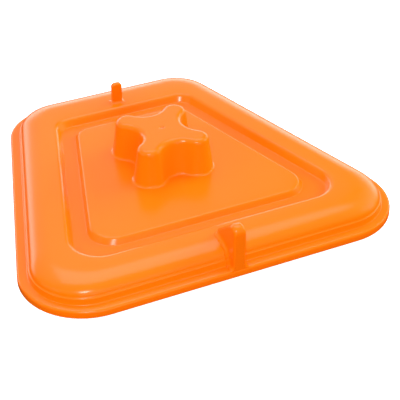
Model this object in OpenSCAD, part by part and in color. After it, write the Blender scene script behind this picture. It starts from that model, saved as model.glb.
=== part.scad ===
// Pheromone insect trap: a moulded cover over a shallow tray with a sticky liner,
// an entry funnel under the boss and a lure cage inside the boss.
// The long parallel side is the front (-Y), the short one is the back (+Y).
// Origin: middle of the outline, on the plane that the trap rests on.

/* [Outline] */
// Length of the front side between its sharp corners
front_w = 240; // [210:1:290]
// Length of the back side between its sharp corners
back_w = 122; // [110:1:148]
// Depth from the front side to the back side
depth = 197; // [180:1:238]
// Corner radius of the outline at the front
front_corner_r = 36; // [30:1:42]
// Corner radius of the outline at the back
back_corner_r = 31; // [26:1:36]

/* [Cover section] */
// Wall thickness of the cover moulding
wall = 1.8; // [1.4:0.1:2.2]
// Height of the flange's top face
flange_top = 4.9; // [4.4:0.1:6]
// Width of the flange outside the rim
flange_w = 8.4; // [7.4:0.1:11]
// Height of the rim's top face
rim_top = 15.8; // [14.6:0.1:19]
// Width of the flat and rounded rim, from its foot to its inner edge
rim_w = 18.6; // [17:0.1:22]
// How much wider the rim is at the back
rim_back_extra = 6.9; // [5:0.1:8.3]
// Height of the sunken channel's floor
channel_top = 11.2; // [10.4:0.1:12]
// Width of the channel's floor
channel_w = 7.3; // [6:0.1:9]
// Height of the raised middle plateau
plateau_top = 14.6; // [13.6:0.1:17.5]

/* [Boss] */
// Height of the four-lobed boss's top face
boss_top = 36; // [34:0.5:43]
// Half of the spacing of the lobes' centres, left to right
lobe_x = 14.4; // [13:0.1:17]
// Half of the spacing of the lobes' centres, front to back
lobe_y = 15.6; // [14:0.1:18]
// Radius of a lobe at the top
lobe_r = 6.6; // [6.2:0.1:7.9]
// Radius that one lobe gains from the top down to the plateau
lobe_draft = 3.4; // [2:0.1:3.6]
// Radius of the hollows between the lobes
lobe_valley_r = 12.6; // [10:0.1:14]
// Distance from the middle of the depth to the boss's centre
boss_y = 1.2; // [0:0.1:4]

/* [Fins] */
// Width of the upright front fin
fin_w = 7; // [6.4:0.1:8.4]
// Height of the front fin
front_fin_top = 31; // [28:0.5:36]
// Width of the thin back tab
back_tab_w = 6.4; // [5:0.1:8]
// Height of the back tab
back_tab_top = 28.6; // [25:0.1:33]

/* [Tray] */
// Thickness of the tray's floor and walls
tray_wall = 1.6; // [1.3:0.1:1.9]
// Height of the tray's upright wall
upstand_top = 11; // [9:0.5:12]
// Gap between the tray and the cover
tray_gap = 0.4; // [0.3:0.05:0.6]
// Radius of the four fixing holes
fixing_r = 2.3; // [2:0.1:2.8]
// Distance of the fixing holes from the outline
fixing_inset = 29; // [27:0.5:31]

/* [Entry] */
// Radius of the opening in the tray's floor
entry_r = 25; // [21:0.5:30]
// Radius of the funnel's mouth, inside
mouth_r = 10; // [8.5:0.5:12]
// Height of the funnel's mouth
mouth_top = 8.2; // [7.5:0.1:8.6]
// Clear gap between the bars of the grid
bar_gap = 5.2; // [4.4:0.1:6.2]

/* [Lure] */
// Inner radius of the lure cage
cage_r = 6; // [5.5:0.1:7.2]
// Radius of the rubber lure
septum_r = 4.6; // [4:0.1:5.2]
// Turn of the cage's cap from locked to free, in degrees
cap_turn = 45; // [35:1:50]

/* [Liner] */
// Thickness of the sticky liner's card
card_t = 0.5; // [0.4:0.05:0.6]
// Thickness of the glue on the card
glue_t = 0.3; // [0.2:0.05:0.4]
// Bare margin around the glue
glue_margin = 7; // [6:0.5:9]

/* [Hidden] */

eps = 0.01;
side_slope = (front_w - back_w) / 2 / depth;
side_len = sqrt(1 + side_slope * side_slope);

// Cover section: insets are measured in from the outline
layer = 0.08;
edge_round = 2;
rim_draft = 2.2;
// Upright band at the rim's foot, under a narrow ledge
foot_in = 5.6;
band_top = 8.4;
band_draft = 0.5;
ledge_w = 0.7;
// The rim's outside rises from the ledge as a flat quarter ellipse
bull_in = foot_in + band_draft + ledge_w;
bull_foot = band_top + 0.3;
bull_w = 13.6;
// Bevel of the rim's hollow, so that the wall stays even under the rounding
hollow_cut = 2.8;
rim_inner = flange_w + rim_w;
inner_round = 3;
well_draft = 0.7;
channel_out = rim_inner + inner_round + well_draft;
plateau_foot = channel_out + channel_w;
plateau_draft = 1.6;
plateau_round = 1.8;
foot_front_r = front_corner_r - 10;
foot_back_r = back_corner_r - 9;
well_front_r = 13;
well_back_r = 8;
cover_fn = 32;
hollow_fn = 24;

// Boss and its hollow
boss_round = 2;
boss_in_top = boss_top - wall;
lobe_foot_r = lobe_r + lobe_draft;

// The front fin falls back to the rim; the back tab is thin and solid
fin_round = 4.2;
front_fin_y = -depth / 2;
front_fin_run = 21.6;
back_tab_y = depth / 2 - 29.3;
back_tab_run = 3.2;
back_tab_round = 2.2;

// Tray
lip_in = wall + tray_gap;
ledge_top = flange_top - wall;
upstand_out = flange_w + rim_draft + wall + tray_gap;
upstand_in = upstand_out + tray_wall;
tray_front_r = front_corner_r - 2;
tray_back_r = back_corner_r - 2;
upstand_front_r = foot_front_r - 2;
upstand_back_r = foot_back_r - 2;
fixing_boss_r = fixing_r + 2.8;
fixing_boss_top = 4;

// Funnel and grid
funnel_t = 1.2;
funnel_flange_r = entry_r + 5;
spigot_gap = 0.1;
spigot_r = entry_r - spigot_gap;
grid_r = spigot_r - funnel_t;
grid_bottom = 0.3;
grid_t = 1.4;
bar_w = 1.2;

// Lure cage
cage_t = 1.5;
cage_out = cage_r + cage_t;
cage_bottom = 17;
cage_plate = 2;
foot_gap = 0.4;
foot_r = lobe_r - wall - foot_gap;
foot_h = 9;
arm_w = 2.6;
arm_h = 3.6;
cap_gap = 0.2;
cap_t = 2.2;
cap_plug_h = 2;
lug_w = 3;
lug_t = 1.6;
septum_bottom = cage_bottom + cap_plug_h + 0.3;

// Liner
liner_inset = upstand_in + 0.8;
liner_back_extra = 18;
liner_bottom = tray_wall;
hook_z = liner_bottom + card_t + 0.5;
liner_hole_r = funnel_flange_r + 0.8;

function half_w(y, inset) = front_w / 2 - side_slope * (y + depth / 2) - inset * side_len;
function fixing_points() = [
    for (sx = [-1, 1], sy = [-1, 1])
        let (y = sy * (depth / 2 - fixing_inset)) [sx * half_w(y, fixing_inset), y]
];

// Outline moved in by inset, with its own corner radii; extra moves only the back side in
module plan(inset, rf, rb, extra = 0) {
    yf = -depth / 2 + inset + rf;
    yb = depth / 2 - inset - extra - rb;
    xf = half_w(yf, inset + rf);
    xb = half_w(yb, inset + rb);
    nx = 1 / side_len;
    ny = side_slope / side_len;
    polygon([
        [-xf, yf - rf], [xf, yf - rf],
        [xf + rf * nx, yf + rf * ny], [xb + rb * nx, yb + rb * ny],
        [xb, yb + rb], [-xb, yb + rb],
        [-xb - rb * nx, yb + rb * ny], [-xf - rf * nx, yf + rf * ny]
    ]);
    for (sx = [-1, 1]) {
        translate([sx * xf, yf]) circle(rf);
        translate([sx * xb, yb]) circle(rb);
    }
}

module plate(z, h, inset, rf, rb, extra = 0) {
    translate([0, 0, z]) linear_extrude(h) plan(inset, rf, rb, extra);
}

// Solid through a list of sections [height, inset, front radius, back radius]
module stack(s, extra = 0) {
    for (i = [0 : len(s) - 2])
        hull() {
            plate(s[i][0], layer, s[i][1], s[i][2], s[i][3], extra);
            plate(s[i + 1][0] - layer, layer, s[i + 1][1], s[i + 1][2], s[i + 1][3], extra);
        }
}

// Four-lobed star with smooth hollows between its lobes
module star(r, valley) {
    offset(r = -valley) offset(r = valley)
        for (sx = [-1, 1], sy = [-1, 1])
            hull() {
                translate([sx * lobe_x, sy * lobe_y]) circle(r);
                circle(r);
            }
}

// Star that widens downwards from a lobe radius r at height z1
module star_body(z0, z1, r, valley) {
    reach = sqrt(lobe_x * lobe_x + lobe_y * lobe_y) + r;
    widen = lobe_draft * (z1 - z0) / (boss_top - plateau_top);
    translate([0, boss_y, z1])
        mirror([0, 0, 1]) linear_extrude(z1 - z0, scale = 1 + widen / reach) star(r, valley);
}

// Side of a fin: a rounded crown behind the upright face, then a fall to the foot
module fin_side(top, run, foot, inset) {
    hull() {
        translate([fin_round, top - fin_round]) circle(fin_round - inset);
        translate([run - fin_round - 1, rim_top + 0.6]) circle(fin_round - inset);
        translate([inset, foot]) square([run - 2 * inset, 1]);
    }
}

module fin(y, top, run, foot, width, inset = 0) {
    translate([-width / 2, y, 0])
        rotate([90, 0, 90]) linear_extrude(width) fin_side(top, run, foot, inset);
}

module front_fin(foot, width, inset) {
    fin(front_fin_y, front_fin_top, front_fin_run, foot, width, inset);
}

// A thin plate across the rim, its top corners rounded
module back_tab(foot) {
    half = back_tab_w / 2 - back_tab_round;
    translate([0, back_tab_y + back_tab_run, 0]) rotate([90, 0, 0])
        linear_extrude(back_tab_run) hull() {
            for (sx = [-1, 1])
                translate([sx * half, back_tab_top - back_tab_round]) circle(back_tab_round);
            translate([-back_tab_w / 2, foot]) square([back_tab_w, 1]);
        }
}

module cover_outside() {
    rf = front_corner_r;
    rb = back_corner_r;
    stack([
        [0.4, 0, rf, rb],
        [flange_top - edge_round, 0, rf, rb],
        [flange_top - edge_round * 0.3, edge_round * 0.3, rf, rb],
        [flange_top, edge_round, rf - 1, rb - 1]
    ]);
    stack([
        [flange_top - 0.5, foot_in, foot_front_r + 3, foot_back_r + 3],
        [band_top, foot_in + band_draft, foot_front_r + 3, foot_back_r + 3],
        [bull_foot, bull_in, foot_front_r + 2, foot_back_r + 2],
        for (a = [20, 40, 60, 75, 90])
            [
                bull_foot + (rim_top - bull_foot) * sin(a),
                bull_in + bull_w * (1 - cos(a)),
                foot_front_r + 2 - 8 * (1 - cos(a)), foot_back_r + 2 - 10 * (1 - cos(a))
            ]
    ]);
}

// What is cut from the rim's block to leave the channel
module well() {
    stack([
        [channel_top, channel_out, well_front_r + 1, well_back_r + 1],
        for (a = [0, 30, 60, 90])
            [
                rim_top - inner_round * (1 - sin(a)) + (a == 90 ? 0.5 : 0),
                rim_inner + inner_round * cos(a),
                well_front_r + 3, well_back_r + 3
            ]
    ], rim_back_extra);
}

module plateau() {
    inset = plateau_foot + plateau_draft;
    stack([
        [channel_top - 0.5, plateau_foot, well_front_r, well_back_r],
        [plateau_top - plateau_round, inset, well_front_r, well_back_r],
        [plateau_top - plateau_round * 0.3, inset + plateau_round * 0.3, well_front_r, well_back_r],
        [plateau_top, inset + plateau_round, well_front_r - 1, well_back_r - 1]
    ], rim_back_extra);
}

module rim_hollow() {
    inset = flange_w + wall;
    top = rim_top - wall;
    stack([
        [ledge_top - 0.5, foot_in + wall, foot_front_r + 1, foot_back_r + 1],
        [band_top - 1, foot_in + wall + band_draft, foot_front_r + 1, foot_back_r + 1],
        [top - hollow_cut, inset + rim_draft, foot_front_r - 3.5, foot_back_r - 3.5],
        [top, inset + rim_draft + hollow_cut, foot_front_r - 4.5, foot_back_r - 4.5]
    ]);
}

// The channel's wall and floor as seen from below, which the rim's hollow goes around
module channel_block() {
    inset = rim_inner + inner_round - wall;
    stack([
        [channel_top - wall, channel_out - wall, well_front_r + 2, well_back_r + 2],
        [rim_top - wall - 1.4, inset, well_front_r + 4, well_back_r + 4],
        [rim_top, inset - 1.4, well_front_r + 5, well_back_r + 5]
    ], rim_back_extra);
}

module plateau_hollow() {
    stack([
        [ledge_top, plateau_foot + wall, well_front_r - 1, well_back_r - 1],
        [plateau_top - wall, plateau_foot + plateau_draft + wall, well_front_r - 2, well_back_r - 2]
    ], rim_back_extra);
}

module cover_hollow() {
    $fn = hollow_fn;
    plate(-1, ledge_top + 1, wall, front_corner_r - wall, back_corner_r - wall);
    difference() {
        rim_hollow();
        channel_block();
    }
    plateau_hollow();
    star_body(plateau_top - wall - 1, boss_in_top, lobe_r - wall, lobe_valley_r + wall);
    front_fin(ledge_top - 1, fin_w - 2 * wall, wall);
}

// One moulding: a skirt and flange, a hollow rim, a sunken channel, a plateau,
// the lobed boss, the front fin and the back tab
module cover() color("darkorange") difference() {
    $fn = cover_fn;
    union() {
        difference() {
            cover_outside();
            well();
        }
        plateau();
        star_body(plateau_top - 0.5, boss_top - boss_round, lobe_r, lobe_valley_r);
        for (i = [0 : 2]) {
            low = boss_top - boss_round * (1 - sin(30 * i));
            high = boss_top - boss_round * (1 - sin(30 * i + 30));
            translate([0, boss_y, low - layer]) linear_extrude(high - low + layer)
                star(lobe_r - boss_round * (1 - cos(30 * i + 15)), lobe_valley_r);
        }
        front_fin(1, fin_w, 0);
        back_tab(rim_top - wall);
    }
    cover_hollow();
}

// Four arms carry a slotted tube in the middle of the boss; its mouth takes the cap
module lure_cage() color("ivory") translate([0, boss_y, 0]) difference() {
    $fn = 48;
    union() {
        translate([0, 0, cage_bottom]) cylinder(r = cage_out, h = boss_in_top - cage_bottom);
        for (sx = [-1, 1], sy = [-1, 1]) {
            a = atan2(sy * lobe_y, sx * lobe_x);
            reach = sqrt(lobe_x * lobe_x + lobe_y * lobe_y);
            translate([sx * lobe_x, sy * lobe_y, boss_in_top - foot_h]) cylinder(r = foot_r, h = foot_h);
            rotate([0, 0, a])
                translate([0, -arm_w / 2, boss_in_top - arm_h]) cube([reach, arm_w, arm_h]);
        }
    }
    translate([0, 0, cage_bottom - 1])
        cylinder(r = cage_r, h = boss_in_top - cage_plate - cage_bottom + 1);
    // windows for the scent
    for (a = [0, 90])
        rotate([0, 0, a])
            translate([-cage_out - 1, -2.2, cage_bottom + 5.4])
                cube([2 * cage_out + 2, 4.4, boss_in_top - arm_h - cage_bottom - 6.4]);
    // bayonet slots: an upright way in, then a level run back to the locked place
    for (side = [0, 180])
        rotate([0, 0, side + 45]) {
            rotate([0, 0, cap_turn])
                translate([cage_r - 1, -lug_w / 2 - cap_gap, cage_bottom - 1])
                    cube([cage_t + 2, lug_w + 2 * cap_gap, 1 + lug_t + 1.2 + cap_gap]);
            rotate([0, 0, -16])
                translate([0, 0, cage_bottom + 1 - cap_gap])
                    rotate_extrude(angle = cap_turn + 16)
                        translate([cage_r - 0.6, 0]) square([cage_t + 1.6, lug_t + 2 * cap_gap]);
        }
}

module lure_cap() color("ivory") translate([0, boss_y, 0]) {
    $fn = 48;
    translate([0, 0, cage_bottom - cap_gap - cap_t]) cylinder(r = cage_out, h = cap_t);
    translate([0, 0, cage_bottom - cap_gap - eps])
        cylinder(r = cage_r - cap_gap, h = cap_plug_h + cap_gap + eps);
    for (side = [0, 180])
        rotate([0, 0, side + 45])
            translate([cage_r - 1, -lug_w / 2, cage_bottom + 1]) cube([cage_t + 0.6, lug_w, lug_t - 0.6]);
    // finger grip
    translate([-cage_out + 1.2, -0.9, cage_bottom - cap_gap - cap_t - 1.4])
        cube([2 * cage_out - 2.4, 1.8, 1.4 + eps]);
}

// Rubber stopper lure: a cup with a thick foot and a rolled head
module septum() color("dimgray") translate([0, boss_y, septum_bottom]) {
    $fn = 48;
    h = boss_in_top - cage_plate - septum_bottom - 1;
    difference() {
        union() {
            cylinder(r = septum_r - 0.5, h = h);
            translate([0, 0, h - 4]) cylinder(r = septum_r + 0.3, h = 4);
        }
        translate([0, 0, 4]) cylinder(r = septum_r - 2, h = h);
    }
}

module tray_fillings() {
    for (p = fixing_points())
        translate([p[0], p[1], 0]) cylinder(r = fixing_boss_r, h = fixing_boss_top, $fn = 48);
    // small hooks that hold the liner's edge down
    for (x = [-48, 48])
        translate([x - 5, -depth / 2 + upstand_out + 0.4, hook_z])
            cube([10, tray_wall + 4, 1.6]);
    for (sx = [-1, 1])
        translate([sx * half_w(0, upstand_in + 1), 0, hook_z])
            rotate([0, 0, sx * atan(side_slope)])
                translate([sx > 0 ? -3.6 : -1.4, -5, 0]) cube([5, 10, 1.6]);
}

// Floor and upright wall, an outer ledge that carries the cover, and a lip inside the skirt
module tray_shell() {
    plate(0, upstand_top, upstand_out, upstand_front_r, upstand_back_r);
    difference() {
        plate(0, ledge_top, lip_in, tray_front_r, tray_back_r);
        plate(
            -1, 1 + ledge_top - tray_wall, lip_in + tray_wall,
            tray_front_r - tray_wall, tray_back_r - tray_wall
        );
    }
}

module base_tray() color("darkorange") difference() {
    $fn = 72;
    tray_shell();
    difference() {
        plate(
            tray_wall, upstand_top, upstand_in,
            upstand_front_r - tray_wall, upstand_back_r - tray_wall
        );
        tray_fillings();
    }
    for (p = fixing_points())
        translate([p[0], p[1], -1]) cylinder(r = fixing_r, h = fixing_boss_top + 2);
    translate([0, boss_y, -1]) cylinder(r = entry_r, h = tray_wall + 2);
}

module entry_funnel() color("whitesmoke") translate([0, boss_y, 0]) rotate_extrude($fn = 96)
    polygon([
        [spigot_r - funnel_t, grid_bottom], [spigot_r, grid_bottom], [spigot_r, tray_wall],
        [funnel_flange_r, tray_wall], [funnel_flange_r, tray_wall + funnel_t],
        [spigot_r + 0.6, tray_wall + funnel_t], [mouth_r + funnel_t, mouth_top],
        [mouth_r, mouth_top], [spigot_r - funnel_t, tray_wall + 0.6]
    ]);

module excluder_grid() color("whitesmoke") translate([0, boss_y, grid_bottom]) {
    $fn = 72;
    pitch = bar_gap + bar_w;
    n = floor((grid_r - bar_w) / pitch);
    r = grid_r - spigot_gap;
    difference() {
        cylinder(r = r, h = grid_t);
        translate([0, 0, -1]) cylinder(r = r - 1.6, h = grid_t + 2);
    }
    for (i = [-n : n]) {
        half = sqrt(pow(r - 0.8, 2) - pow(i * pitch, 2));
        translate([i * pitch - bar_w / 2, -half, 0]) cube([bar_w, 2 * half, grid_t]);
    }
}

module liner_plan(inset) {
    difference() {
        plan(inset, upstand_front_r - tray_wall, upstand_back_r - tray_wall, liner_back_extra);
        translate([0, boss_y]) circle(liner_hole_r + (inset - liner_inset) * 0.5);
        for (p = fixing_points())
            translate(p) circle(fixing_boss_r + 1 + (inset - liner_inset) * 0.5);
    }
}

module sticky_liner() color("white")
    translate([0, 0, liner_bottom]) linear_extrude(card_t, $fn = 72) liner_plan(liner_inset);

module glue_coat() color("lightyellow")
    translate([0, 0, liner_bottom + card_t]) linear_extrude(glue_t, $fn = 72)
        liner_plan(liner_inset + glue_margin);

cover();
lure_cage();
lure_cap();
septum();
base_tray();
entry_funnel();
excluder_grid();
sticky_liner();
glue_coat();
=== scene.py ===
"""Looks of a moulded pheromone insect trap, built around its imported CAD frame."""

import math

import bpy
import numpy as np
from mathutils import Matrix, Vector
from mathutils.geometry import tessellate_polygon


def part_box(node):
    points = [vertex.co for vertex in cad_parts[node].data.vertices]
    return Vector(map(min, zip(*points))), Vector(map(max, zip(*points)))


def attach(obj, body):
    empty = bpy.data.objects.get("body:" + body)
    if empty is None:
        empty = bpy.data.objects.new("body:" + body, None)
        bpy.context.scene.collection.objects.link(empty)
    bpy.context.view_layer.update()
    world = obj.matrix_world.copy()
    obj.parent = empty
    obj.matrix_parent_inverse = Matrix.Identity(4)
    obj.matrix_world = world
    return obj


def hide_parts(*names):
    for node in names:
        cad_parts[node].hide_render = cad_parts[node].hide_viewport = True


bl_info = {
    "name": "Pheromone Trap Maker",
    "version": (1, 0, 0),
    "blender": (4, 5, 0),
    "location": "View3D > Sidebar > Trap",
    "description": "Builds the cover, fins, materials and stage of a moulded insect trap",
    "category": "Object",
}

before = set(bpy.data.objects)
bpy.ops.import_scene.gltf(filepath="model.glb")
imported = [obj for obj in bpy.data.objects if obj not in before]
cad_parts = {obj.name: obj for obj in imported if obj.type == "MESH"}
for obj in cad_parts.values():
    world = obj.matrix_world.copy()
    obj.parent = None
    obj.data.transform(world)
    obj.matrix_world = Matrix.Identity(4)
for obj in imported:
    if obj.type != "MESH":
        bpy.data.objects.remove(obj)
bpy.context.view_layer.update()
COVER_LOW, COVER_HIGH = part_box("cover")

MM = 0.001
FRONT_WIDTH, BACK_WIDTH, DEPTH = 0.240, 0.122, 0.197
BOSS_Y = 1.2 * MM
# Each side leans in by SLOPE for each metre of depth, which makes it SIDE_LENGTH times as long
SLOPE = (FRONT_WIDTH - BACK_WIDTH) / 2 / DEPTH
SIDE_LENGTH = math.hypot(1, SLOPE)

# Distances in from the outline at which the cover's section turns
FLANGE_IN = 5.6 * MM
BULL_IN = 6.8 * MM
BULL_WIDTH = 13.6 * MM
RIM_IN = 28.0 * MM
CHANNEL_OUTER, CHANNEL_INNER = 30.4 * MM, 38.3 * MM
PLATEAU_IN = 40.3 * MM
SECTION_END = 46.0 * MM


# ---------------------------------------------------------------- settings


class TrapSizes(bpy.types.PropertyGroup):
    """Sizes of the cover's visible surface"""

    front_width: bpy.props.FloatProperty(
        name="Front width",
        description="Front side between its sharp corners",
        default=FRONT_WIDTH,
        unit="LENGTH",
    )
    depth: bpy.props.FloatProperty(
        name="Depth",
        description="Front side to back side",
        default=COVER_HIGH[1] - COVER_LOW[1],
        unit="LENGTH",
    )
    skirt_bottom: bpy.props.FloatProperty(
        name="Skirt bottom",
        description="Height of the skirt's lower edge",
        default=COVER_LOW[2],
        unit="LENGTH",
    )
    flange_top: bpy.props.FloatProperty(
        name="Flange", description="Height of the flange", default=0.0049, unit="LENGTH"
    )
    rim_top: bpy.props.FloatProperty(
        name="Rim", description="Height of the rim", default=0.0158, unit="LENGTH"
    )
    channel_top: bpy.props.FloatProperty(
        name="Channel", description="Height of the channel's floor", default=0.0112, unit="LENGTH"
    )
    plateau_top: bpy.props.FloatProperty(
        name="Plateau", description="Height of the plateau", default=0.0146, unit="LENGTH"
    )
    boss_top: bpy.props.FloatProperty(
        name="Boss", description="Height of the boss", default=COVER_HIGH[2], unit="LENGTH"
    )
    back_extra: bpy.props.FloatProperty(
        name="Back rim", description="Extra width of the rim at the back", default=0.0069, unit="LENGTH"
    )
    wall: bpy.props.FloatProperty(
        name="Wall", description="Thickness of the moulding", default=0.0018, unit="LENGTH"
    )


class TrapFinish(bpy.types.PropertyGroup):
    """Colours and gloss of the materials"""

    orange: bpy.props.FloatVectorProperty(
        name="Orange", description="Cover and tray plastic", subtype="COLOR", size=3,
        default=(1.0, 0.160, 0.0010),
    )
    orange_gloss: bpy.props.FloatProperty(
        name="Roughness", description="Roughness of the orange plastic", default=0.22, min=0, max=1
    )
    white: bpy.props.FloatVectorProperty(
        name="White", description="Funnel and cage plastic", subtype="COLOR", size=3,
        default=(0.80, 0.79, 0.74),
    )
    card: bpy.props.FloatVectorProperty(
        name="Card", description="Liner card", subtype="COLOR", size=3, default=(0.86, 0.85, 0.80)
    )
    glue: bpy.props.FloatVectorProperty(
        name="Glue", description="Insect glue", subtype="COLOR", size=3, default=(0.80, 0.70, 0.38)
    )
    rubber: bpy.props.FloatVectorProperty(
        name="Rubber", description="Rubber stopper", subtype="COLOR", size=3, default=(0.07, 0.07, 0.075)
    )


class TrapStage(bpy.types.PropertyGroup):
    """Camera, lights and floor"""

    azimuth: bpy.props.FloatProperty(
        name="Azimuth", description="Camera's turn round the trap", unit="ROTATION",
        default=math.radians(-25.18),
    )
    elevation: bpy.props.FloatProperty(
        name="Elevation", description="Camera's height", default=math.radians(35.13), unit="ROTATION"
    )
    distance: bpy.props.FloatProperty(
        name="Distance", description="Camera to its target", default=0.6733, unit="LENGTH"
    )
    view_angle: bpy.props.FloatProperty(
        name="View angle", description="Camera's angle of view", default=math.radians(18.7), unit="ROTATION"
    )
    target: bpy.props.FloatVectorProperty(
        name="Target", description="Point the camera looks at", subtype="XYZ", unit="LENGTH", size=3,
        default=(0.00466, -0.03865, 0.0096),
    )
    floor: bpy.props.FloatVectorProperty(
        name="Floor", description="Floor colour", subtype="COLOR", size=3, default=(0.92, 0.92, 0.92)
    )
    sky_back: bpy.props.FloatProperty(name="Sky behind", description="Brightness behind", default=0.72)
    backdrop: bpy.props.FloatProperty(
        name="Backdrop", description="Brightness low behind", default=2.6
    )
    sky_high: bpy.props.FloatProperty(
        name="Sky high", description="Brightness high in front", default=0.31
    )
    key: bpy.props.FloatProperty(
        name="Key", description="Power of the small lamp beside the camera", default=3.0, subtype="POWER"
    )
    softbox: bpy.props.FloatProperty(
        name="Softbox", description="Power of the lamp above", default=3.7, subtype="POWER"
    )
    fill_left: bpy.props.FloatProperty(
        name="Left fill", description="Power of the fill from the left", default=4.5, subtype="POWER"
    )
    fill_front: bpy.props.FloatProperty(
        name="Front fill", description="Power of the fill from the front", default=6.8, subtype="POWER"
    )
    fill_right: bpy.props.FloatProperty(
        name="Right fill", description="Power of the fill from the right", default=12.0, subtype="POWER"
    )


# ---------------------------------------------------------------- shader helpers


class Value:
    """A number socket in a node tree. Python operators on it add Math nodes."""

    def __init__(self, nodes, socket):
        self.nodes = nodes
        self.socket = socket

    def _math(self, operation, first, second):
        made = self.nodes.add("ShaderNodeMath", {"operation": operation}, {0: first, 1: second})
        return Value(self.nodes, made.outputs[0])

    def __add__(self, other):
        return self._math("ADD", self, other)

    def __radd__(self, other):
        return self._math("ADD", other, self)

    def __sub__(self, other):
        return self._math("SUBTRACT", self, other)

    def __rsub__(self, other):
        return self._math("SUBTRACT", other, self)

    def __mul__(self, other):
        return self._math("MULTIPLY", self, other)

    def __rmul__(self, other):
        return self._math("MULTIPLY", other, self)

    def __gt__(self, other):
        return self._math("GREATER_THAN", self, other)

    def __lt__(self, other):
        return self._math("LESS_THAN", self, other)

    def larger(self, other):
        return self._math("MAXIMUM", self, other)

    def modulo(self, other):
        return self._math("FLOORED_MODULO", self, other)


class MaterialNodes:
    """A material's node tree with its Principled shader and object coordinates."""

    def __init__(self, name):
        self.material = bpy.data.materials.new(name)
        self.material.use_nodes = True
        self.tree = self.material.node_tree
        self.shader = self.tree.nodes["Principled BSDF"]
        self.place = self.add("ShaderNodeTexCoord").outputs["Object"]

    def add(self, kind, settings=None, inputs=None):
        """Adds one node: its settings first, then values or links into its sockets."""
        node = self.tree.nodes.new(kind)
        for key, value in (settings or {}).items():
            if key == "stops":
                ramp = node.color_ramp.elements
                for element, (position, colour) in zip(ramp, value, strict=True):
                    element.position = position
                    element.color = (*colour, 1)
            else:
                setattr(node, key, value)
        for key, value in (inputs or {}).items():
            socket = node.inputs[key]
            if isinstance(value, Value):
                value = value.socket
            if isinstance(value, bpy.types.NodeSocket):
                self.tree.links.new(value, socket)
            else:
                socket.default_value = value
        return node

    def noise(self, scale, detail=2.0, roughness=0.5):
        """Noise of this many cells a metre, from 0 to 1."""
        made = self.add(
            "ShaderNodeTexNoise", {},
            {"Vector": self.place, "Scale": scale, "Detail": detail, "Roughness": roughness},
        )
        return Value(self, made.outputs["Fac"])

    def axes(self):
        """Object coordinates as three values."""
        made = self.add("ShaderNodeSeparateXYZ", {}, {0: self.place})
        return [Value(self, s) for s in made.outputs]

    def mix(self, factor, first, second):
        """Mixes two colours by a value."""
        made = self.add(
            "ShaderNodeMix", {"data_type": "RGBA"}, {"Factor": factor, 6: first, 7: second}
        )
        return made.outputs[2]

    def bump(self, height, distance, strength=1.0):
        """A Bump node from a height, over this distance in metres."""
        made = self.add(
            "ShaderNodeBump", {}, {"Height": height, "Distance": distance, "Strength": strength}
        )
        return made.outputs["Normal"]

    def set(self, **values):
        """Values or links for the shader's own sockets, written with underscores for spaces."""
        for key, value in values.items():
            socket = self.shader.inputs[key.replace("_", " ")]
            if isinstance(value, Value):
                value = value.socket
            if isinstance(value, bpy.types.NodeSocket):
                self.tree.links.new(value, socket)
            else:
                socket.default_value = value
        return self.material


def rgba(colour, gain=1.0):
    """A colour with its alpha, made lighter or darker."""
    return (*[min(c * gain, 1.0) for c in colour], 1.0)


def moulded_orange(name, finish, worn):
    """Satin orange plastic: a faint flow mottle, fine moulding grain and slight sink waves."""
    m = MaterialNodes(name)
    flow = m.noise(14, 3, 0.55)
    speck = m.noise(900, 2, 0.6)
    grain = m.noise(2600, 2, 0.6)
    tone = m.mix(flow, rgba(finish.orange, 0.93), rgba(finish.orange, 1.06))
    tone = m.mix((speck > 0.70) * 0.08, tone, rgba(finish.orange, 0.80))
    waves = m.noise(38, 1, 0.4) * 0.6 + grain * 0.015
    return m.set(
        Base_Color=tone,
        Roughness=finish.orange_gloss + (flow - 0.5) * 0.10 + (speck - 0.5) * 0.06 + worn,
        IOR=1.46,
        Specular_IOR_Level=0.40,
        Normal=m.bump(waves, 0.00010, 0.5),
    )


def moulded_white(name, finish):
    """Natural polypropylene: milky, with weld lines' slight tone change and a fine grain."""
    m = MaterialNodes(name)
    cloud = m.noise(60, 3, 0.6)
    grain = m.noise(3000, 2, 0.6)
    tone = m.mix(cloud, rgba(finish.white, 0.92), rgba(finish.white, 1.08))
    return m.set(
        Base_Color=tone,
        Roughness=0.42 + (cloud - 0.5) * 0.2,
        Normal=m.bump(grain, 0.00006, 0.5),
    )


def coated_card(name, finish):
    """Coated card with a generic counting grid of thin lines, 25 mm apart, and paper fibre."""
    m = MaterialNodes(name)
    x, y, _ = m.axes()
    fibre = m.noise(700, 4, 0.7)
    pitch = 0.025
    half_line = 0.0004
    across = ((x + 1.0).modulo(pitch) - pitch / 2 + half_line).modulo(pitch) < 2 * half_line
    along = ((y + 1.0).modulo(pitch) - pitch / 2 + half_line).modulo(pitch) < 2 * half_line
    paper = m.mix(fibre, rgba(finish.card, 0.95), rgba(finish.card, 1.03))
    inked = m.mix(across.larger(along) * 0.6, paper, (0.25, 0.30, 0.28, 1))
    return m.set(Base_Color=inked, Roughness=0.55 + fibre * 0.15, Normal=m.bump(fibre, 0.00008, 0.5))


def insect_glue(name, finish):
    """Clear tacky glue: amber, glossy, rippled where it was spread, thin in patches."""
    m = MaterialNodes(name)
    x, _, _ = m.axes()
    patches = m.noise(45, 3, 0.6)
    ripples = m.noise(420, 3, 0.55)
    comb = (x * 1400.0 + patches * 9.0).modulo(1.0)
    tone = m.mix(patches, rgba(finish.glue, 0.85), rgba(finish.card, 0.98))
    height = ripples * 0.8 + comb * (1.0 - comb) * 0.8
    return m.set(
        Base_Color=tone,
        Roughness=0.10 + patches * 0.12,
        Coat_Weight=0.6,
        Normal=m.bump(height, 0.00025, 0.6),
    )


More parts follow.
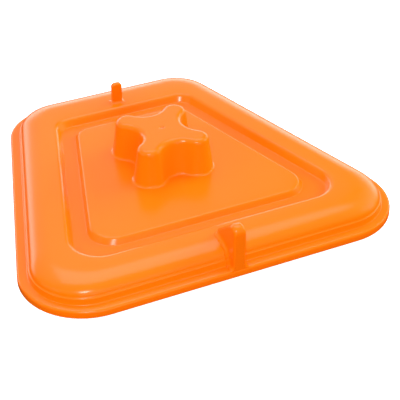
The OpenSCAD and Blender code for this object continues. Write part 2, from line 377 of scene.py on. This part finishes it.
def stopper_rubber(name, finish):
    """Grey moulded rubber, matt, with fine bloom and pits."""
    m = MaterialNodes(name)
    bloom = m.noise(260, 4, 0.65)
    pits = m.noise(1800, 2, 0.6)
    tone = m.mix(bloom, rgba(finish.rubber, 0.8), rgba(finish.rubber, 1.9))
    return m.set(Base_Color=tone, Roughness=0.62 + bloom * 0.2, Normal=m.bump(pits, 0.00008, 0.7))


def pale_floor(name, colour):
    """A bright, seamless studio floor with a barely visible paper grain."""
    m = MaterialNodes(name)
    grain = m.noise(300, 2, 0.5)
    tone = m.mix(grain, rgba(colour, 0.995), rgba(colour, 1.005))
    return m.set(
        Base_Color=tone, Roughness=0.9, Specular_IOR_Level=0.1,
        Emission_Color=(1, 1, 1, 1), Emission_Strength=0.62,
    )


# ---------------------------------------------------------------- surfaces


def filleted(corners, steps=7):
    """A path through corners (across, up, radius): each corner becomes a circular arc that
    leaves both legs at tangent length radius * tan(turn / 2). Returns across, up and the
    corner number that each point belongs to, as a running fraction."""
    points = np.array([c[:2] for c in corners], float)
    path, place = [points[0]], [0.0]
    for i in range(1, len(points) - 1):
        before, here, after = points[i - 1], points[i], points[i + 1]
        radius = corners[i][2]
        u = (before - here) / np.linalg.norm(before - here)
        v = (after - here) / np.linalg.norm(after - here)
        half = math.acos(float(np.clip(u @ v, -1, 1))) / 2
        if radius <= 0 or half > math.radians(89.5):
            path.append(here)
            place.append(float(i))
            continue
        reach = radius / math.tan(half)
        centre = here + (u + v) / np.linalg.norm(u + v) * radius / math.sin(half)
        start, end = here + u * reach - centre, here + v * reach - centre
        sweep = math.atan2(start[0] * end[1] - start[1] * end[0], start @ end)
        a = math.atan2(start[1], start[0]) + np.linspace(0, 1, steps) * sweep
        path.extend(centre + radius * np.stack([np.cos(a), np.sin(a)], 1))
        place.extend(np.linspace(i - 0.35, i + 0.35, steps))
    path.append(points[-1])
    place.append(float(len(points) - 1))
    path = np.array(path)
    return path[:, 0], path[:, 1], np.array(place)


FRONT_STEPS, SIDE_STEPS, BACK_STEPS, ARC_STEPS = 32, 30, 20, 20


def trapezoids(sizes, inset, front_r, back_r, extra):
    """Rounded trapezoids, one row of points per inset, from the front's middle anticlockwise.
    Straight sides run between the tangent points of the corner circles, whose centres lie
    inset + radius inside both sides, and extra moves only the back side in."""
    inset, front_r, back_r, extra = (np.asarray(v, float)[:, None] for v in (inset, front_r, back_r, extra))
    w, d = sizes.front_width / 2, sizes.depth / 2
    yf = -d + inset + front_r
    yb = d - inset - extra - back_r
    xf = w - SLOPE * (yf + d) - (inset + front_r) * SIDE_LENGTH
    xb = w - SLOPE * (yb + d) - (inset + back_r) * SIDE_LENGTH
    lean = math.atan(SLOPE)

    def shares(n):
        """n even steps from 0, short of 1, as one row."""
        return np.linspace(0, 1, n, endpoint=False)[None, :]

    af = -math.pi / 2 + (lean + math.pi / 2) * shares(ARC_STEPS)
    ab = lean + (math.pi / 2 - lean) * shares(ARC_STEPS)
    nx, ny = 1 / SIDE_LENGTH, SLOPE / SIDE_LENGTH
    side, back, front = shares(SIDE_STEPS), shares(BACK_STEPS // 2), shares(FRONT_STEPS // 2)
    x0, y0, x1, y1 = xf + front_r * nx, yf + front_r * ny, xb + back_r * nx, yb + back_r * ny
    right_x = [xf * front, xf + front_r * np.cos(af), x0 + (x1 - x0) * side, xb + back_r * np.cos(ab)]
    right_y = [
        (yf - front_r) + 0 * front, yf + front_r * np.sin(af), y0 + (y1 - y0) * side, yb + back_r * np.sin(ab)
    ]
    right_x.append(xb * (1 - back))
    right_y.append(yb + back_r + 0 * back)
    x, y = np.concatenate(right_x, 1), np.concatenate(right_y, 1)
    # the left half is the right one mirrored and run backwards from the back's middle
    x = np.concatenate([x, 0 * x[:, :1], -x[:, :0:-1]], 1)
    y = np.concatenate([y, y[:, :1] * 0 + (yb + back_r), y[:, :0:-1]], 1)
    return x, y


def star_outline(n, lobe_x, lobe_y, lobe_r, valley_r):
    """The boss's outline at its top: four convex lobes joined by hollow arcs that touch both
    lobes, resampled to n even steps from the front's middle. Returns points and normals."""
    def valley(gap, along):
        """Centre distance of the hollow circle that touches two lobes 2 * gap apart, and the
        half-angle that it spans."""
        rise = math.sqrt((lobe_r + valley_r) ** 2 - gap**2)
        return along + rise, math.atan2(gap, rise)

    front, front_half = valley(lobe_x, lobe_y)
    right, right_half = valley(lobe_y, lobe_x)
    steps = np.linspace(0, 1, 200)
    a1 = math.pi / 2 - front_half * steps
    a2 = np.linspace(-math.pi / 2 - front_half, right_half, 200)
    a3 = math.pi + right_half * (1 - steps)
    x = np.concatenate([valley_r * np.cos(a1), lobe_x + lobe_r * np.cos(a2), right + valley_r * np.cos(a3)])
    y = np.concatenate([
        -front + valley_r * np.sin(a1), -lobe_y + lobe_r * np.sin(a2), valley_r * np.sin(a3)
    ])
    nx = np.concatenate([-np.cos(a1), np.cos(a2), -np.cos(a3)])
    ny = np.concatenate([-np.sin(a1), np.sin(a2), -np.sin(a3)])
    # quarter from the front's middle to the right's middle, then mirrored round
    x = np.concatenate([x, x[::-1], -x, -x[::-1]])
    y = np.concatenate([y, -y[::-1], -y, y[::-1]])
    nx = np.concatenate([nx, nx[::-1], -nx, -nx[::-1]])
    ny = np.concatenate([ny, -ny[::-1], -ny, ny[::-1]])
    run = np.concatenate([[0], np.cumsum(np.hypot(np.diff(x), np.diff(y)))])
    keep = np.concatenate([[True], np.diff(run) > 1e-9])
    at = np.linspace(0, run[-1], n, endpoint=False)
    values = [np.interp(at, run[keep], v[keep]) for v in (x, y, nx, ny)]
    length = np.hypot(values[2], values[3])
    return values[0], values[1], values[2] / length, values[3] / length


def loft(first, rows, n):
    """Quads between neighbouring rings of n points, from row number first, rows rings long."""
    i, j = np.meshgrid(first + np.arange(rows - 1), np.arange(n), indexing="ij")
    k = (j + 1) % n
    return np.stack([i * n + j, (i + 1) * n + j, (i + 1) * n + k, i * n + k], -1).reshape(-1, 4)


def flat(points, rows, n, up):
    """Triangles that fill the level area of one ring, or between two rings, facing up or down."""
    loops = [np.arange(row * n, (row + 1) * n) for row in rows]
    index = np.concatenate(loops)
    found = tessellate_polygon([[Vector((*points[v, :2], 0)) for v in loop] for loop in loops])
    tris = index[np.array(found)]
    a, b, c = (points[tris[:, k], :2] for k in range(3))
    turn = (b[:, 0] - a[:, 0]) * (c[:, 1] - a[:, 1]) - (b[:, 1] - a[:, 1]) * (c[:, 0] - a[:, 0])
    tris = tris[np.abs(turn) > 1e-14]
    turn = turn[np.abs(turn) > 1e-14]
    return np.where(((turn > 0) == up)[:, None], tris, tris[:, ::-1])


def smooth_mesh(name, points, faces):
    """A smooth-shaded mesh from points and lists of faces."""
    mesh = bpy.data.meshes.new(name)
    mesh.from_pydata(points.tolist(), [], [list(f) for group in faces for f in group])
    mesh.polygons.foreach_set("use_smooth", [True] * len(mesh.polygons))
    mesh.update()
    return mesh


def shell_mesh(name, groups):
    """A closed shell from four groups of rings: gate mark, boss, section and ceiling. Each
    group is lofted, and the level areas between the groups are filled flat."""
    points = np.concatenate(groups).reshape(-1, 3)
    n = groups[0].shape[1]
    start = np.concatenate([[0], np.cumsum([len(g) for g in groups])])
    faces = [loft(start[k], len(g), n).tolist() for k, g in enumerate(groups)]
    faces.append(flat(points, [0], n, True).tolist())
    faces.append(flat(points, [start[1] - 1, start[1]], n, True).tolist())
    faces.append(flat(points, [start[2] - 1, start[2]], n, True).tolist())
    faces.append(flat(points, [start[3] - 1, start[3]], n, False).tolist())
    faces.append(flat(points, [start[4] - 1], n, False).tolist())
    return smooth_mesh(name, points, faces)


def make_piece(name, mesh, material, body):
    """Links a mesh as a piece that rides on a body and takes a material slot's finish."""
    piece = bpy.data.objects.new(name, mesh)
    bpy.context.scene.collection.objects.link(piece)
    mesh.materials.append(material)
    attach(piece, body)
    return piece


# Corner radii in plan at distances from the outline, from the skirt to the plateau
RADII_AT = np.array([
    0, FLANGE_IN, BULL_IN, BULL_IN + BULL_WIDTH, RIM_IN, CHANNEL_OUTER, CHANNEL_INNER, PLATEAU_IN, SECTION_END
])
OUTER_FRONT_R = np.array([36, 29.3, 28, 20, 17, 14, 14, 13, 12]) * MM
OUTER_BACK_R = np.array([31, 25, 24, 14, 10, 9.5, 9, 8.5, 8]) * MM


def bullnose(s):
    """The rim's outside above its ledge: a quarter ellipse that is wide and low."""
    a = np.radians(np.linspace(0, 90, 13))
    foot = 8.7 * MM
    return BULL_IN + BULL_WIDTH * (1 - np.cos(a)), foot + (s.rim_top - foot) * np.sin(a)


def outer_corners(s):
    """Corners of the outside section: skirt foot, flange, foot band, ledge, bullnose, rim,
    channel and plateau. Corners without a radius are points of a smooth curve."""
    return [
        (0.35 * MM, s.skirt_bottom, 0),
        (0, s.skirt_bottom + 0.2 * MM, 0.3 * MM),
        (0, s.flange_top, 1.6 * MM),
        (FLANGE_IN, s.flange_top, 0.7 * MM),
        (6.0 * MM, 8.4 * MM, 0.25 * MM),
        *[(x, z, 0) for x, z in zip(*bullnose(s))],
        (RIM_IN, s.rim_top, 3.2 * MM),
        (CHANNEL_OUTER, s.channel_top, 1.1 * MM),
        (CHANNEL_INNER, s.channel_top, 0.9 * MM),
        (PLATEAU_IN, s.plateau_top, 1.7 * MM),
        (SECTION_END, s.plateau_top, 0),
    ]


def front_section(s):
    """The outside section as points (distance from the outline, height), densely."""
    across, up, place = filleted(outer_corners(s), 12)
    fine = np.linspace(0, place[-1], 900)
    return np.interp(fine, place, across), np.interp(fine, place, up)


def back_shift(s, across):
    """How far the back side's section is moved in: it grows across the flat of the rim."""
    return s.back_extra * np.clip((across - BULL_IN - BULL_WIDTH) / (3 * MM), 0, 1)


def cover_rings(s):
    """The cover's rings in four groups: the gate mark's, the boss's from its top down, the
    section's from the plateau out to the skirt and back up the inside, and the ceiling's."""
    across, up, _ = filleted(outer_corners(s))
    fr, br = np.interp(across, RADII_AT, OUTER_FRONT_R), np.interp(across, RADII_AT, OUTER_BACK_R)
    x, y = trapezoids(s, across, fr, br, back_shift(s, across))
    z = np.repeat(up[:, None], x.shape[1], 1)
    outer = np.stack([x, y, z], -1)[::-1]
    n = x.shape[1]
    px, py, nx, ny = star_outline(
        n, lobe_x=14.4 * MM, lobe_y=15.6 * MM, lobe_r=6.6 * MM, valley_r=12.6 * MM
    )

    def stars(offset, height):
        o, h = np.asarray(offset)[:, None], np.asarray(height)[:, None]
        return np.stack([px + nx * o, BOSS_Y + py + ny * o, h + 0 * px], -1)

    draft = 2.8 * MM
    offset, height, _ = filleted([
        (-3.6 * MM, s.boss_top, 0),
        (0, s.boss_top, 3.2 * MM),
        (draft, s.plateau_top, 1.5 * MM),
        (draft + 2.6 * MM, s.plateau_top, 0),
    ], 9)
    boss = stars(offset, height)
    mark = 1.7 * MM
    angle = np.linspace(0, 2 * math.pi, n, endpoint=False) - math.pi / 2
    gate = np.array([
        np.stack([r * np.cos(angle), BOSS_Y + r * np.sin(angle), 0 * angle + s.boss_top + h], -1)
        for r, h in (
            (mark * 0.55, -0.50 * MM), (mark * 0.70, -0.44 * MM), (mark * 0.90, -0.12 * MM),
            (mark, -0.02 * MM), (mark * 1.2, 0.0),
        )
    ])
    # inside: its own section, one wall thickness away
    t = s.wall
    inner_corners = [
        (0.4 * MM, s.skirt_bottom, 0),
        (t, s.skirt_bottom, 0.3 * MM),
        (t, s.flange_top - t, 0.6 * MM),
        (FLANGE_IN + t, s.flange_top - t, 0.8 * MM),
        (6.1 * MM + t, 7.4 * MM, 1.5 * MM),
        (12.6 * MM, 11.6 * MM, 2.5 * MM),
        (15.4 * MM, s.rim_top - t, 2.0 * MM),
        (28.2 * MM - t, s.rim_top - t, 1.4 * MM),
        (CHANNEL_OUTER - t, s.channel_top - t, 1.6 * MM),
        (CHANNEL_INNER + t, s.channel_top - t, 1.6 * MM),
        (40.1 * MM + t, s.plateau_top - t, 0.8 * MM),
        (47.0 * MM, s.plateau_top - t, 0),
    ]
    across, up, _ = filleted(inner_corners, 5)
    shift = np.clip((across - 16 * MM) / (6 * MM), 0, 1) * s.back_extra
    less = np.clip(across / (4 * MM), 0, 1) * 1.8 * MM
    fr = np.interp(across, RADII_AT, OUTER_FRONT_R) - less
    br = np.interp(across, RADII_AT, OUTER_BACK_R) - less
    x, y = trapezoids(s, across, fr, br, shift)
    inner = np.stack([x, y, np.repeat(up[:, None], n, 1)], -1)
    offset, height, _ = filleted([
        (draft + 1.0 * MM, s.plateau_top - t, 0),
        (draft - t, s.plateau_top - t, 0.6 * MM),
        (-t, s.boss_top - t, 0.5 * MM),
        (-4.6 * MM, s.boss_top - t, 0),
    ], 5)
    ceiling = stars(offset, height)
    return gate, boss, np.concatenate([outer, inner[1:]]), ceiling


def fin_outline(top, run, foot, rim, crown, count):
    """Side view of a fin as (distance behind its face, height): straight up the face, round
    a crown circle, down a bulging back to the rim."""
    second = np.array([run - crown - 1.0 * MM, rim + 0.6 * MM])
    first = np.array([crown, top - crown])
    step = second - first
    tilt = math.atan2(step[1], step[0]) + math.pi / 2
    a1 = np.linspace(math.pi, tilt, 60)
    a2 = np.linspace(tilt, 0.0, 40)
    path = np.concatenate([
        [[0, foot[0]]],
        first + crown * np.stack([np.cos(a1), np.sin(a1)], 1),
        second + crown * np.stack([np.cos(a2), np.sin(a2)], 1),
        [[run, foot[1]]],
    ])
    run_length = np.concatenate([[0], np.cumsum(np.hypot(*np.diff(path, axis=0).T))])
    at = np.linspace(0, run_length[-1], count)
    return np.stack([np.interp(at, run_length, path[:, k]) for k in (0, 1)], 1)


def distance_to(points, path):
    """Shortest distance from each point to a polyline of points close together."""
    gap = points[..., None, :] - path
    return np.sqrt((gap**2).sum(-1)).min(-1)


def dense_path(path):
    """The same path with in-between points, for measuring distances to it."""
    t = np.linspace(0, 1, 4, endpoint=False)[None, :, None]
    fine = (path[:-1, None] * (1 - t) + path[1:, None] * t).reshape(-1, 2)
    return np.concatenate([fine, path[-1:]])


def fin_mesh(name, outline, base, section, half_low, half_high, top, edge_r, fillet_r):
    """A fin as a closed loop of columns for each place along its outline. Its half width is
    the drafted thickness, less a rounding near the outline, plus a concave fillet that grows
    towards the moulding's surface (the section)."""
    rows = len(outline)
    t = (1 - np.cos(np.linspace(0, math.pi, 26))) / 2
    side = outline[:, None] * (1 - t[None, :, None]) + base[:, None] * t[None, :, None]
    from_edge = distance_to(side, dense_path(outline))
    from_skin = distance_to(side, section)
    deep = np.clip(side[..., 1] / top, 0, 1)
    half = half_low + (half_high - half_low) * deep
    near_top = np.clip((side[..., 1] - top + 5 * MM) / (5 * MM), 0, 1)
    edge_r = edge_r + 1.2 * MM * near_top * near_top * (3 - 2 * near_top)
    e = np.clip(edge_r - from_edge, 0, edge_r)
    f = np.clip(fillet_r - from_skin, 0, fillet_r)
    half = half - (edge_r - np.sqrt(edge_r**2 - e**2)) + (fillet_r - np.sqrt(fillet_r**2 - f**2))
    right = np.stack([half, side[..., 0], side[..., 1]], -1)
    across = np.linspace(-1, 1, 7)[None, 1:-1, None]
    cap = right[:, :1] * np.concatenate([across, 0 * across + 1, 0 * across + 1], -1)
    bottom = right[:, -1:] * np.concatenate([-across, 0 * across + 1, 0 * across + 1], -1)
    left = right[:, ::-1] * np.array([-1, 1, 1])
    loop = np.concatenate([left, cap, right, bottom], 1)
    n = loop.shape[1]
    ends = [list(range(n))[::-1], [(rows - 1) * n + v for v in range(n)]]
    return smooth_mesh(name, loop.reshape(-1, 3), [loft(0, rows, n).tolist(), ends])


def tab_mesh(name, face, run, width, foot, top):
    """A thin upright plate as rounded rectangles stacked up: each one's corner circles are
    0.9 mm. The stack flares by a quarter circle at the foot, and near the top its width and
    run shrink by quarter circles of 2.2 mm and 0.9 mm."""
    edge, crown, fillet, sink = 0.9 * MM, 2.2 * MM, 1.5 * MM, 0.9 * MM
    z = np.concatenate([
        [foot - sink], foot + fillet * (1 - np.cos(np.linspace(0, math.pi / 2, 9))),
        np.linspace(foot + fillet + 0.3 * MM, top - crown - 0.3 * MM, 8),
        top - crown * (1 - np.sin(np.linspace(0, math.pi / 2, 14))),
    ])
    f = np.clip(fillet - (z - foot), 0, fillet)
    flare = fillet - np.sqrt(fillet**2 - f**2)
    e, c = np.clip(z - top + edge, 0, edge), np.clip(z - top + crown, 0, crown)
    half = width / 2 - (crown - np.sqrt(crown**2 - c**2)) * 0.92 + flare
    deep = run / 2 - (edge - np.sqrt(edge**2 - e**2)) * 0.8 + flare
    a = np.linspace(0, 2 * math.pi, 64, endpoint=False) + math.pi / 64
    corner = np.minimum(edge, np.minimum(half, deep) * 0.9)[:, None]
    x = np.sign(np.cos(a)) * (half[:, None] - corner) + corner * np.cos(a)
    y = face + run / 2 + np.sign(np.sin(a)) * (deep[:, None] - corner) + corner * np.sin(a)
    rings = np.stack([x, y, np.repeat(z[:, None], 64, 1)], -1)[::-1]
    ends = [list(range(64)), [(len(z) - 1) * 64 + v for v in range(64)][::-1]]
    return smooth_mesh(name, rings.reshape(-1, 3), [loft(0, len(z), 64).tolist(), ends])


# ---------------------------------------------------------------- operators


class TRAP_OT_cover(bpy.types.Operator):
    """Build the cover's filleted shell in place of its CAD solid"""

    bl_idname = "trap.cover"
    bl_label = "Cover"

    def execute(self, context):
        s, finish = context.scene.trap_sizes, context.scene.trap_finish
        mesh = shell_mesh("cover_shell", cover_rings(s))
        material = moulded_orange("moulded_orange_cover", finish, 0.0)
        shell = make_piece("cover_shell", mesh, material, "cover")
        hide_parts("cover")
        return {"FINISHED"}


class TRAP_OT_fins(bpy.types.Operator):
    """Build the front fin, with its fillets into the rim, and the thin back tab"""

    bl_idname = "trap.fins"
    bl_label = "Fin and tab"

    def execute(self, context):
        s = context.scene.trap_sizes
        material = bpy.data.materials["moulded_orange_cover"]
        across, up = front_section(s)
        half_depth = s.depth / 2
        sink = 0.9 * MM
        top, run, columns = 31.0 * MM, 21.6 * MM, 90
        # front fin: its face stands just behind the skirt's, so that the two share no plane
        behind = 0.3 * MM
        lowest = 0.9 * MM
        section = np.stack([across, up], 1)
        section = section[(section[:, 0] <= run) & (section[:, 1] > lowest)]
        foot = (2.0 * MM, s.rim_top - sink)
        outline = fin_outline(top, run, foot, s.rim_top, crown=4.2 * MM, count=columns)
        outline[:, 0] += behind
        mesh = fin_mesh(
            "front_fin", outline, self.sunk(section, sink, columns), section,
            half_low=3.75 * MM, half_high=3.35 * MM, top=top, edge_r=1.1 * MM, fillet_r=2.6 * MM,
        )
        self.move(mesh, -half_depth)
        make_piece("front_fin", mesh, material, "cover")
        # back tab: a thin plate that stands on the wide back rim
        mesh = tab_mesh(
            "back_tab", face=half_depth - 29.3 * MM, run=3.2 * MM, width=6.4 * MM,
            foot=s.rim_top, top=28.6 * MM,
        )
        make_piece("back_tab", mesh, material, "cover")
        return {"FINISHED"}

    def sunk(self, section, sink, count):
        """The section moved into the moulding along its normal, resampled evenly."""
        run = np.concatenate([[0], np.cumsum(np.hypot(*np.diff(section, axis=0).T))])
        keep = np.concatenate([[True], np.diff(run) > 1e-9])
        at = np.linspace(0, run[-1], count)
        path = np.stack([np.interp(at, run[keep], section[keep, k]) for k in (0, 1)], 1)
        tangent = np.gradient(path, axis=0)
        tangent /= np.linalg.norm(tangent, axis=1)[:, None]
        return path + sink * np.stack([tangent[:, 1], -tangent[:, 0]], 1)

    def move(self, mesh, shift):
        """Moves a fin's mesh along the depth."""
        points = np.empty(len(mesh.vertices) * 3)
        mesh.vertices.foreach_get("co", points)
        points[1::3] += shift
        mesh.vertices.foreach_set("co", points)
        mesh.update()


def dress(node, material):
    """Gives a CAD node its material."""
    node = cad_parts[node]
    for place in node.material_slots:
        place.material = material
    if not node.material_slots:
        node.data.materials.append(material)


class TRAP_OT_tray(bpy.types.Operator):
    """Finish the base tray"""

    bl_idname = "trap.tray"
    bl_label = "Tray"

    def execute(self, context):
        dress("base_tray", moulded_orange("moulded_orange_tray", context.scene.trap_finish, 0.06))
        return {"FINISHED"}


class TRAP_OT_entry(bpy.types.Operator):
    """Finish the entry funnel and its grid"""

    bl_idname = "trap.entry"
    bl_label = "Entry"

    def execute(self, context):
        material = moulded_white("moulded_white_entry", context.scene.trap_finish)
        dress("entry_funnel", material)
        dress("excluder_grid", material)
        return {"FINISHED"}


class TRAP_OT_liner(bpy.types.Operator):
    """Finish the sticky liner and its glue"""

    bl_idname = "trap.liner"
    bl_label = "Liner"

    def execute(self, context):
        finish = context.scene.trap_finish
        dress("sticky_liner", coated_card("coated_card", finish))
        dress("glue_coat", insect_glue("insect_glue", finish))
        return {"FINISHED"}


class TRAP_OT_lure(bpy.types.Operator):
    """Finish the lure cage, its cap and the rubber stopper"""

    bl_idname = "trap.lure"
    bl_label = "Lure"

    def execute(self, context):
        finish = context.scene.trap_finish
        material = moulded_white("moulded_white_lure", finish)
        dress("lure_cage", material)
        dress("lure_cap", material)
        dress("septum", stopper_rubber("stopper_rubber", finish))
        return {"FINISHED"}


class TRAP_OT_stage(bpy.types.Operator):
    """Set the camera, the soft lights and the pale floor"""

    bl_idname = "trap.stage"
    bl_label = "Stage"

    def execute(self, context):
        st = context.scene.trap_stage
        self.camera(context, st)
        self.floor(st)
        self.lights(context, st)
        context.scene.view_settings.view_transform = "Standard"
        context.scene.view_settings.look = "None"
        return {"FINISHED"}

    def camera(self, context, st):
        """A camera on a sphere round its target."""
        ce = math.cos(st.elevation)
        back = Vector((math.sin(st.azimuth) * ce, -math.cos(st.azimuth) * ce, math.sin(st.elevation)))
        data = bpy.data.cameras.new("camera")
        data.sensor_width = 36
        data.lens = data.sensor_width / 2 / math.tan(st.view_angle / 2)
        data.shift_x = 0.0017
        data.clip_start, data.clip_end = 0.01, 20
        camera = bpy.data.objects.new("camera", data)
        camera.location = Vector(st.target) + back * st.distance
        camera.rotation_euler = back.to_track_quat("Z", "Y").to_euler()
        context.scene.collection.objects.link(camera)
        context.scene.camera = camera

    def floor(self, st):
        """A large flat floor under the trap, kept out of its reflections and bounced light."""
        size = 3.0
        mesh = bpy.data.meshes.new("floor")
        corners = [(-size, -size, 0), (size, -size, 0), (size, size, 0), (-size, size, 0)]
        mesh.from_pydata(corners, [], [(0, 1, 2, 3)])
        mesh.materials.append(pale_floor("pale_floor", st.floor))
        floor = bpy.data.objects.new("floor", mesh)
        bpy.context.scene.collection.objects.link(floor)
        floor.visible_glossy = False
        floor.visible_diffuse = False

    def lights(self, context, st):
        """A sky in three zones, a softbox above, a key lamp, and three fills kept out of the gloss."""
        world = bpy.data.worlds.new("studio")
        world.use_nodes = True
        tree = world.node_tree
        place = tree.nodes.new("ShaderNodeTexCoord")
        split = tree.nodes.new("ShaderNodeSeparateXYZ")
        tree.links.new(place.outputs["Generated"], split.inputs[0])
        total = 0.03
        # over a dim base, each zone is its brightness times ramps along an axis of the direction
        for value, ramps in (
            (st.sky_back, (("Y", -0.1, 0.4), ("X", 0.50, 0.34), ("X", -0.75, -0.5), ("Z", 0.1, 0.35))),
            (st.backdrop, (("Y", 0.2, 0.5), ("X", -0.75, -0.5), ("Z", 0.40, 0.25), ("Z", -0.1, 0.02))),
            (st.sky_high, (("Y", 0.4, -0.1), ("Z", 0.35, 0.60))),
        ):
            level = value
            for axis, start, end in ramps:
                ramp = tree.nodes.new("ShaderNodeMapRange")
                tree.links.new(split.outputs[axis], ramp.inputs["Value"])
                ramp.inputs["From Min"].default_value = start
                ramp.inputs["From Max"].default_value = end
                level = self.join(tree, "MULTIPLY", level, ramp.outputs["Result"])
            total = self.join(tree, "ADD", total, level)
        sky = tree.nodes["Background"]
        sky.inputs["Color"].default_value = (1, 1, 1, 1)
        tree.links.new(total, sky.inputs["Strength"])
        context.scene.world = world
        self.lamp(context, "softbox", (0.12, 0.20, 0.90), st.softbox, True)
        self.lamp(context, "key", (-0.30, -0.62, 0.62), st.key, True, 0.16)
        self.lamp(context, "fill_left", (-0.95, 0.05, 0.35), st.fill_left, False)
        self.lamp(context, "fill_front", (-0.10, -1.00, 0.30), st.fill_front, False)
        self.lamp(context, "fill_right", (0.95, 0.05, 0.35), st.fill_right, False)

    def join(self, tree, operation, first, second):
        """One Math node between two numbers or sockets."""
        node = tree.nodes.new("ShaderNodeMath")
        node.operation = operation
        for socket, value in zip(node.inputs, (first, second)):
            if isinstance(value, bpy.types.NodeSocket):
                tree.links.new(value, socket)
            else:
                socket.default_value = value
        return node.outputs[0]

    def lamp(self, context, name, place, power, gloss, size=0.9):
        """A rectangular lamp that looks at the origin and shows in the gloss or not."""
        lamp = bpy.data.lights.new(name, "AREA")
        lamp.shape = "RECTANGLE"
        lamp.size, lamp.size_y = size, size * 0.67
        lamp.energy = power
        light = bpy.data.objects.new(name, lamp)
        place = Vector(place)
        turn = place.to_track_quat("Z", "Y").to_matrix().to_4x4()
        light.matrix_world = Matrix.Translation(place) @ turn
        light.visible_glossy = gloss
        context.scene.collection.objects.link(light)


class TRAP_PT_panel(bpy.types.Panel):
    """Lists the trap's pieces and settings"""

    bl_label = "Pheromone trap"
    bl_idname = "TRAP_PT_panel"
    bl_space_type = "VIEW_3D"
    bl_region_type = "UI"
    bl_category = "Trap"

    def draw(self, context):
        for operator in OPERATORS:
            self.layout.operator(operator.bl_idname)
        for name, group in GROUPS.items():
            column = self.layout.column(align=True)
            for key in group.__annotations__:
                column.prop(getattr(context.scene, name), key)


OPERATORS = (
    TRAP_OT_cover, TRAP_OT_fins, TRAP_OT_tray, TRAP_OT_entry, TRAP_OT_liner, TRAP_OT_lure, TRAP_OT_stage,
)
GROUPS = {"trap_sizes": TrapSizes, "trap_finish": TrapFinish, "trap_stage": TrapStage}


def register():
    """Registers every class and hangs the settings on the scene."""
    for name, group in GROUPS.items():
        bpy.utils.register_class(group)
        setattr(bpy.types.Scene, name, bpy.props.PointerProperty(type=group))
    for each in (*OPERATORS, TRAP_PT_panel):
        bpy.utils.register_class(each)


def unregister():
    """Undoes register."""
    for each in reversed((*OPERATORS, TRAP_PT_panel)):
        bpy.utils.unregister_class(each)
    for name, group in GROUPS.items():
        delattr(bpy.types.Scene, name)
        bpy.utils.unregister_class(group)


def main():
    """Builds every piece and the stage."""
    register()
    for step in ("cover", "fins", "tray", "entry", "liner", "lure", "stage"):
        getattr(bpy.ops.trap, step)()


if __name__ == "__main__":
    main()
